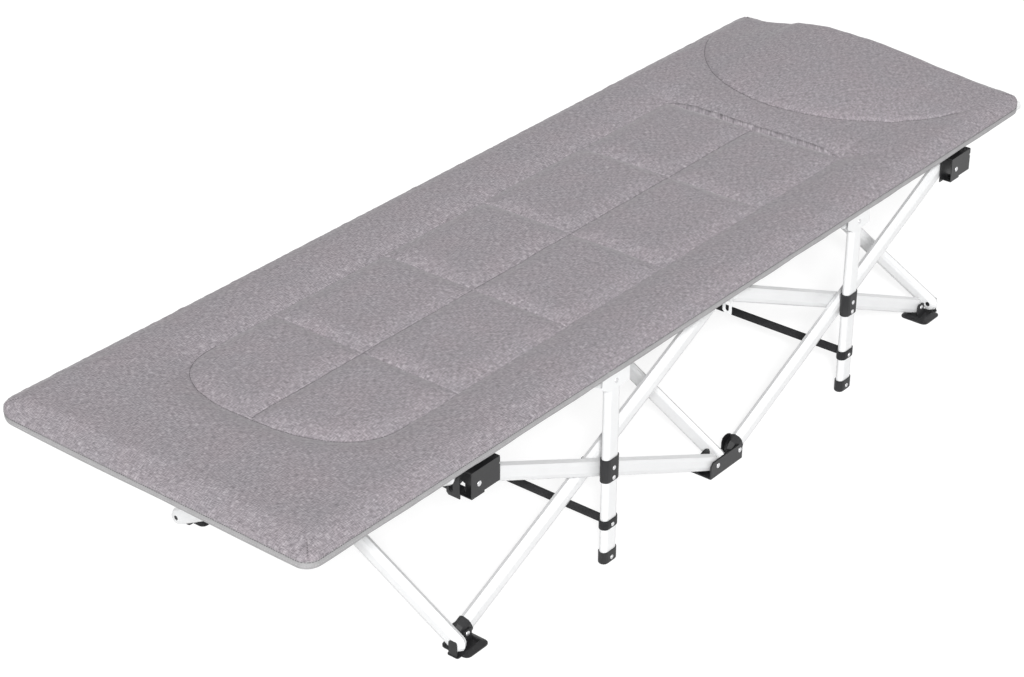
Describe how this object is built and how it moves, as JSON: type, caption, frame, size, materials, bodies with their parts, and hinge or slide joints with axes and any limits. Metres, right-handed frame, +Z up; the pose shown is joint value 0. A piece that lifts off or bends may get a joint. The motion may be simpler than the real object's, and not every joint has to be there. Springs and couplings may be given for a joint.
{
  "type": "folding camping cot",
  "caption": "Long padded camp bed on a low crossed-bar folding frame that gathers upright into a bundle, with legs, side rails, a quilted pad and a raised pillow.",
  "frame": {"origin": "on the ground, under the middle of the bed's outline", "axes": "+X towards the head, +Y towards the far side seen in the picture, +Z up"},
  "size_m": [1.9, 0.6196, 0.4082],
  "materials": {
    "tube": "satin white powder coat",
    "bracket": "satin black",
    "plastic": "matte",
    "webbing": "woven black webbing",
    "band": "plain grey woven cloth",
    "quilt": "heathered warm grey quilted cloth"
  },
  "bodies": {
    "left_mid_hub_low": {"left_mid_hub_low": "bracket"},
    "left_foot_bar_outer": {"left_foot_bar_outer": "tube"},
    "left_foot_bar_inner": {"left_foot_bar_inner": "tube", "left_foot_bar_inner_sleeve": "plastic"},
    "left_foot_collar": {"left_foot_collar": "plastic"},
    "left_foot_leg": {"left_foot_leg": "tube", "left_foot_leg_cap": "plastic", "left_foot_rail_hinge": "tube", "foot_leg_strap": "webbing"},
    "left_foot_rail_end": {"left_foot_rail_end": "tube"},
    "left_foot_rail_mid": {"left_foot_rail_mid": "tube"},
    "left_foot_top_bracket": {"left_foot_top_bracket": "bracket"},
    "left_foot_shoe": {"left_foot_shoe": "plastic"},
    "left_head_bar_outer": {"left_head_bar_outer": "tube", "left_head_bar_outer_sleeve": "plastic"},
    "left_head_bar_inner": {"left_head_bar_inner": "tube"},
    "left_head_collar": {"left_head_collar": "plastic"},
    "left_head_leg": {"left_head_leg": "tube", "left_head_leg_cap": "plastic", "left_head_rail_hinge": "tube", "head_leg_strap": "webbing"},
    "left_head_rail_end": {"left_head_rail_end": "tube"},
    "left_head_rail_mid": {"left_head_rail_mid": "tube"},
    "left_head_top_bracket": {"left_head_top_bracket": "bracket"},
    "left_head_shoe": {"left_head_shoe": "plastic"},
    "left_mid_hub_top": {"left_mid_hub_top": "tube", "bed_cloth": "band", "pad": "quilt"},
    "mid_cross_bar_a": {"mid_cross_bar_a": "tube"},
    "mid_cross_bar_b": {"mid_cross_bar_b": "tube"},
    "right_mid_hub_low": {"right_mid_hub_low": "bracket"},
    "right_foot_bar_outer": {"right_foot_bar_outer": "tube"},
    "right_foot_bar_inner": {"right_foot_bar_inner": "tube", "right_foot_bar_inner_sleeve": "plastic"},
    "right_foot_collar": {"right_foot_collar": "plastic"},
    "right_foot_leg": {"right_foot_leg": "tube", "right_foot_leg_cap": "plastic", "right_foot_rail_hinge": "tube"},
    "right_foot_rail_end": {"right_foot_rail_end": "tube"},
    "right_foot_rail_mid": {"right_foot_rail_mid": "tube"},
    "right_foot_top_bracket": {"right_foot_top_bracket": "bracket"},
    "right_foot_shoe": {"right_foot_shoe": "plastic"},
    "right_head_bar_outer": {"right_head_bar_outer": "tube", "right_head_bar_outer_sleeve": "plastic"},
    "right_head_bar_inner": {"right_head_bar_inner": "tube"},
    "right_head_collar": {"right_head_collar": "plastic"},
    "right_head_leg": {"right_head_leg": "tube", "right_head_leg_cap": "plastic", "right_head_rail_hinge": "tube"},
    "right_head_rail_end": {"right_head_rail_end": "tube"},
    "right_head_rail_mid": {"right_head_rail_mid": "tube"},
    "right_head_top_bracket": {"right_head_top_bracket": "bracket"},
    "right_head_shoe": {"right_head_shoe": "plastic"},
    "right_mid_hub_top": {"right_mid_hub_top": "tube"},
    "foot_cross_bar_a": {"foot_cross_bar_a": "tube"},
    "foot_cross_bar_b": {"foot_cross_bar_b": "tube"},
    "head_cross_bar_a": {"head_cross_bar_a": "tube"},
    "head_cross_bar_b": {"head_cross_bar_b": "tube"}
  },
  "joints": [
    {"name": "fold", "type": "hinge", "parent": "left_mid_hub_low", "child": "left_foot_bar_outer", "pos_m": [0.021, -0.2797, 0.0195], "axis": [0, 1, 0], "range_deg": [0, 46], "deforming": ["pad", "bed_cloth", "foot_leg_strap", "head_leg_strap"]},
    {"name": "left_foot_scissor_pivot", "type": "hinge", "parent": "left_foot_bar_outer", "child": "left_foot_bar_inner", "pos_m": [-0.2835, -0.2797, 0.16035], "axis": [0, -1, 0], "range_deg": [0, 92.01]},
    {"name": "left_foot_collar_pivot", "type": "hinge", "parent": "left_foot_bar_outer", "child": "left_foot_collar", "pos_m": [-0.2835, -0.2797, 0.16035], "axis": [0, -1, 0], "range_deg": [0, 46.01]},
    {"name": "left_foot_leg_slide", "type": "slide", "parent": "left_foot_collar", "child": "left_foot_leg", "axis": [0, 0, -1], "range_m": [0, 0.05823]},
    {"name": "left_foot_rail_end_hinge", "type": "hinge", "parent": "left_foot_leg", "child": "left_foot_rail_end", "pos_m": [-0.3053, -0.2993, 0.3385], "axis": [0, 1, 0], "range_deg": [0, 79.59]},
    {"name": "left_foot_rail_mid_hinge", "type": "hinge", "parent": "left_foot_leg", "child": "left_foot_rail_mid", "pos_m": [-0.2617, -0.2993, 0.3385], "axis": [0, -1, 0], "range_deg": [0, 72.23]},
    {"name": "left_foot_top_bracket_pivot", "type": "hinge", "parent": "left_foot_bar_outer", "child": "left_foot_top_bracket", "pos_m": [-0.588, -0.2797, 0.3012], "axis": [0, -1, 0], "range_deg": [0, 46.01]},
    {"name": "left_foot_shoe_pivot", "type": "hinge", "parent": "left_foot_bar_inner", "child": "left_foot_shoe", "pos_m": [-0.588, -0.26, 0.0195], "axis": [0, 1, 0], "range_deg": [0, 46.01]},
    {"name": "left_head_outer_bar_pivot", "type": "hinge", "parent": "left_mid_hub_low", "child": "left_head_bar_outer", "pos_m": [0.083, -0.2797, 0.0195], "axis": [0, -1, 0], "range_deg": [0, 46.01]},
    {"name": "left_head_scissor_pivot", "type": "hinge", "parent": "left_head_bar_outer", "child": "left_head_bar_inner", "pos_m": [0.3875, -0.2797, 0.16035], "axis": [0, 1, 0], "range_deg": [0, 92.01]},
    {"name": "left_head_collar_pivot", "type": "hinge", "parent": "left_head_bar_outer", "child": "left_head_collar", "pos_m": [0.3875, -0.2797, 0.16035], "axis": [0, 1, 0], "range_deg": [0, 46.01]},
    {"name": "left_head_leg_slide", "type": "slide", "parent": "left_head_collar", "child": "left_head_leg", "axis": [0, 0, -1], "range_m": [0, 0.05823]},
    {"name": "left_head_rail_end_hinge", "type": "hinge", "parent": "left_head_leg", "child": "left_head_rail_end", "pos_m": [0.4093, -0.2993, 0.3385], "axis": [0, -1, 0], "range_deg": [0, 71.54]},
    {"name": "left_head_rail_mid_hinge", "type": "hinge", "parent": "left_head_leg", "child": "left_head_rail_mid", "pos_m": [0.3657, -0.2993, 0.3385], "axis": [0, 1, 0], "range_deg": [0, 72.23]},
    {"name": "left_head_top_bracket_pivot", "type": "hinge", "parent": "left_head_bar_outer", "child": "left_head_top_bracket", "pos_m": [0.692, -0.2797, 0.3012], "axis": [0, 1, 0], "range_deg": [0, 46.01]},
    {"name": "left_head_shoe_pivot", "type": "hinge", "parent": "left_head_bar_inner", "child": "left_head_shoe", "pos_m": [0.692, -0.26, 0.0195], "axis": [0, -1, 0], "range_deg": [0, 46.01]},
    {"name": "left_mid_hub_top_pivot", "type": "hinge", "parent": "left_foot_bar_inner", "child": "left_mid_hub_top", "pos_m": [0.021, -0.26, 0.3012], "axis": [0, 1, 0], "range_deg": [0, 46.01]},
    {"name": "mid_cross_bar_pivot", "type": "hinge", "parent": "left_mid_hub_low", "child": "mid_cross_bar_a", "pos_m": [0.0444, -0.276, 0.0195], "axis": [1, 0, 0], "range_deg": [0, 54.75]},
    {"name": "mid_cross_scissor_pivot", "type": "hinge", "parent": "mid_cross_bar_a", "child": "mid_cross_bar_b", "pos_m": [0.052, 0, 0.16875], "axis": [-1, 0, 0], "range_deg": [0, 109.49]},
    {"name": "right_mid_hub_low_pivot", "type": "hinge", "parent": "mid_cross_bar_b", "child": "right_mid_hub_low", "pos_m": [0.0596, 0.276, 0.0195], "axis": [1, 0, 0], "range_deg": [0, 54.75]},
    {"name": "right_foot_outer_bar_pivot", "type": "hinge", "parent": "right_mid_hub_low", "child": "right_foot_bar_outer", "pos_m": [0.021, 0.2797, 0.0195], "axis": [0, 1, 0], "range_deg": [0, 46.01]},
    {"name": "right_foot_scissor_pivot", "type": "hinge", "parent": "right_foot_bar_outer", "child": "right_foot_bar_inner", "pos_m": [-0.2835, 0.2797, 0.16035], "axis": [0, -1, 0], "range_deg": [0, 92.01]},
    {"name": "right_foot_collar_pivot", "type": "hinge", "parent": "right_foot_bar_outer", "child": "right_foot_collar", "pos_m": [-0.2835, 0.2797, 0.16035], "axis": [0, -1, 0], "range_deg": [0, 46.01]},
    {"name": "right_foot_leg_slide", "type": "slide", "parent": "right_foot_collar", "child": "right_foot_leg", "axis": [0, 0, -1], "range_m": [0, 0.05823]},
    {"name": "right_foot_rail_end_hinge", "type": "hinge", "parent": "right_foot_leg", "child": "right_foot_rail_end", "pos_m": [-0.3053, 0.2993, 0.3385], "axis": [0, 1, 0], "range_deg": [0, 71.54]},
    {"name": "right_foot_rail_mid_hinge", "type": "hinge", "parent": "right_foot_leg", "child": "right_foot_rail_mid", "pos_m": [-0.2617, 0.2993, 0.3385], "axis": [0, -1, 0], "range_deg": [0, 72.23]},
    {"name": "right_foot_top_bracket_pivot", "type": "hinge", "parent": "right_foot_bar_outer", "child": "right_foot_top_bracket", "pos_m": [-0.588, 0.2797, 0.3012], "axis": [0, -1, 0], "range_deg": [0, 46.01]},
    {"name": "right_foot_shoe_pivot", "type": "hinge", "parent": "right_foot_bar_inner", "child": "right_foot_shoe", "pos_m": [-0.588, 0.26, 0.0195], "axis": [0, 1, 0], "range_deg": [0, 46.01]},
    {"name": "right_head_outer_bar_pivot", "type": "hinge", "parent": "right_mid_hub_low", "child": "right_head_bar_outer", "pos_m": [0.083, 0.2797, 0.0195], "axis": [0, -1, 0], "range_deg": [0, 46.01]},
    {"name": "right_head_scissor_pivot", "type": "hinge", "parent": "right_head_bar_outer", "child": "right_head_bar_inner", "pos_m": [0.3875, 0.2797, 0.16035], "axis": [0, 1, 0], "range_deg": [0, 92.01]},
    {"name": "right_head_collar_pivot", "type": "hinge", "parent": "right_head_bar_outer", "child": "right_head_collar", "pos_m": [0.3875, 0.2797, 0.16035], "axis": [0, 1, 0], "range_deg": [0, 46.01]},
    {"name": "right_head_leg_slide", "type": "slide", "parent": "right_head_collar", "child": "right_head_leg", "axis": [0, 0, -1], "range_m": [0, 0.05823]},
    {"name": "right_head_rail_end_hinge", "type": "hinge", "parent": "right_head_leg", "child": "right_head_rail_end", "pos_m": [0.4093, 0.2993, 0.3385], "axis": [0, -1, 0], "range_deg": [0, 79.59]},
    {"name": "right_head_rail_mid_hinge", "type": "hinge", "parent": "right_head_leg", "child": "right_head_rail_mid", "pos_m": [0.3657, 0.2993, 0.3385], "axis": [0, 1, 0], "range_deg": [0, 72.23]},
    {"name": "right_head_top_bracket_pivot", "type": "hinge", "parent": "right_head_bar_outer", "child": "right_head_top_bracket", "pos_m": [0.692, 0.2797, 0.3012], "axis": [0, 1, 0], "range_deg": [0, 46.01]},
    {"name": "right_head_shoe_pivot", "type": "hinge", "parent": "right_head_bar_inner", "child": "right_head_shoe", "pos_m": [0.692, 0.26, 0.0195], "axis": [0, -1, 0], "range_deg": [0, 46.01]},
    {"name": "right_mid_hub_top_pivot", "type": "hinge", "parent": "right_foot_bar_inner", "child": "right_mid_hub_top", "pos_m": [0.021, 0.26, 0.3012], "axis": [0, 1, 0], "range_deg": [0, 46.01]},
    {"name": "foot_cross_bar_pivot", "type": "hinge", "parent": "left_foot_shoe", "child": "foot_cross_bar_a", "pos_m": [-0.6143, -0.276, 0.0195], "axis": [1, 0, 0], "range_deg": [0, 54.75]},
    {"name": "foot_cross_scissor_pivot", "type": "hinge", "parent": "foot_cross_bar_a", "child": "foot_cross_bar_b", "pos_m": [-0.6143, 0, 0.16875], "axis": [-1, 0, 0], "range_deg": [0, 109.49]},
    {"name": "head_cross_bar_pivot", "type": "hinge", "parent": "left_head_shoe", "child": "head_cross_bar_a", "pos_m": [0.7183, -0.276, 0.0195], "axis": [1, 0, 0], "range_deg": [0, 54.75]},
    {"name": "head_cross_scissor_pivot", "type": "hinge", "parent": "head_cross_bar_a", "child": "head_cross_bar_b", "pos_m": [0.7183, 0, 0.16875], "axis": [-1, 0, 0], "range_deg": [0, 109.49]}
  ],
  "couplings": [
    {"joint": "left_foot_scissor_pivot", "follows": "fold", "ratio": 2},
    {"joint": "left_foot_collar_pivot", "follows": "fold", "ratio": 1},
    {"joint": "left_foot_leg_slide", "follows": "fold", "m_per_rad": 0.0725},
    {"joint": "left_foot_rail_end_hinge", "follows": "fold", "ratio": 1.73},
    {"joint": "left_foot_rail_mid_hinge", "follows": "fold", "ratio": 1.57},
    {"joint": "left_foot_top_bracket_pivot", "follows": "fold", "ratio": 1},
    {"joint": "left_foot_shoe_pivot", "follows": "fold", "ratio": 1},
    {"joint": "left_head_outer_bar_pivot", "follows": "fold", "ratio": 1},
    {"joint": "left_head_scissor_pivot", "follows": "fold", "ratio": 2},
    {"joint": "left_head_collar_pivot", "follows": "fold", "ratio": 1},
    {"joint": "left_head_leg_slide", "follows": "fold", "m_per_rad": 0.0725},
    {"joint": "left_head_rail_end_hinge", "follows": "fold", "ratio": 1.555},
    {"joint": "left_head_rail_mid_hinge", "follows": "fold", "ratio": 1.57},
    {"joint": "left_head_top_bracket_pivot", "follows": "fold", "ratio": 1},
    {"joint": "left_head_shoe_pivot", "follows": "fold", "ratio": 1},
    {"joint": "left_mid_hub_top_pivot", "follows": "fold", "ratio": 1},
    {"joint": "mid_cross_bar_pivot", "follows": "fold", "ratio": 1.19},
    {"joint": "mid_cross_scissor_pivot", "follows": "fold", "ratio": 2.38},
    {"joint": "right_mid_hub_low_pivot", "follows": "fold", "ratio": 1.19},
    {"joint": "right_foot_outer_bar_pivot", "follows": "fold", "ratio": 1},
    {"joint": "right_foot_scissor_pivot", "follows": "fold", "ratio": 2},
    {"joint": "right_foot_collar_pivot", "follows": "fold", "ratio": 1},
    {"joint": "right_foot_leg_slide", "follows": "fold", "m_per_rad": 0.0725},
    {"joint": "right_foot_rail_end_hinge", "follows": "fold", "ratio": 1.555},
    {"joint": "right_foot_rail_mid_hinge", "follows": "fold", "ratio": 1.57},
    {"joint": "right_foot_top_bracket_pivot", "follows": "fold", "ratio": 1},
    {"joint": "right_foot_shoe_pivot", "follows": "fold", "ratio": 1},
    {"joint": "right_head_outer_bar_pivot", "follows": "fold", "ratio": 1},
    {"joint": "right_head_scissor_pivot", "follows": "fold", "ratio": 2},
    {"joint": "right_head_collar_pivot", "follows": "fold", "ratio": 1},
    {"joint": "right_head_leg_slide", "follows": "fold", "m_per_rad": 0.0725},
    {"joint": "right_head_rail_end_hinge", "follows": "fold", "ratio": 1.73},
    {"joint": "right_head_rail_mid_hinge", "follows": "fold", "ratio": 1.57},
    {"joint": "right_head_top_bracket_pivot", "follows": "fold", "ratio": 1},
    {"joint": "right_head_shoe_pivot", "follows": "fold", "ratio": 1},
    {"joint": "right_mid_hub_top_pivot", "follows": "fold", "ratio": 1},
    {"joint": "foot_cross_bar_pivot", "follows": "fold", "ratio": 1.19},
    {"joint": "foot_cross_scissor_pivot", "follows": "fold", "ratio": 2.38},
    {"joint": "head_cross_bar_pivot", "follows": "fold", "ratio": 1.19},
    {"joint": "head_cross_scissor_pivot", "follows": "fold", "ratio": 2.38}
  ]
}
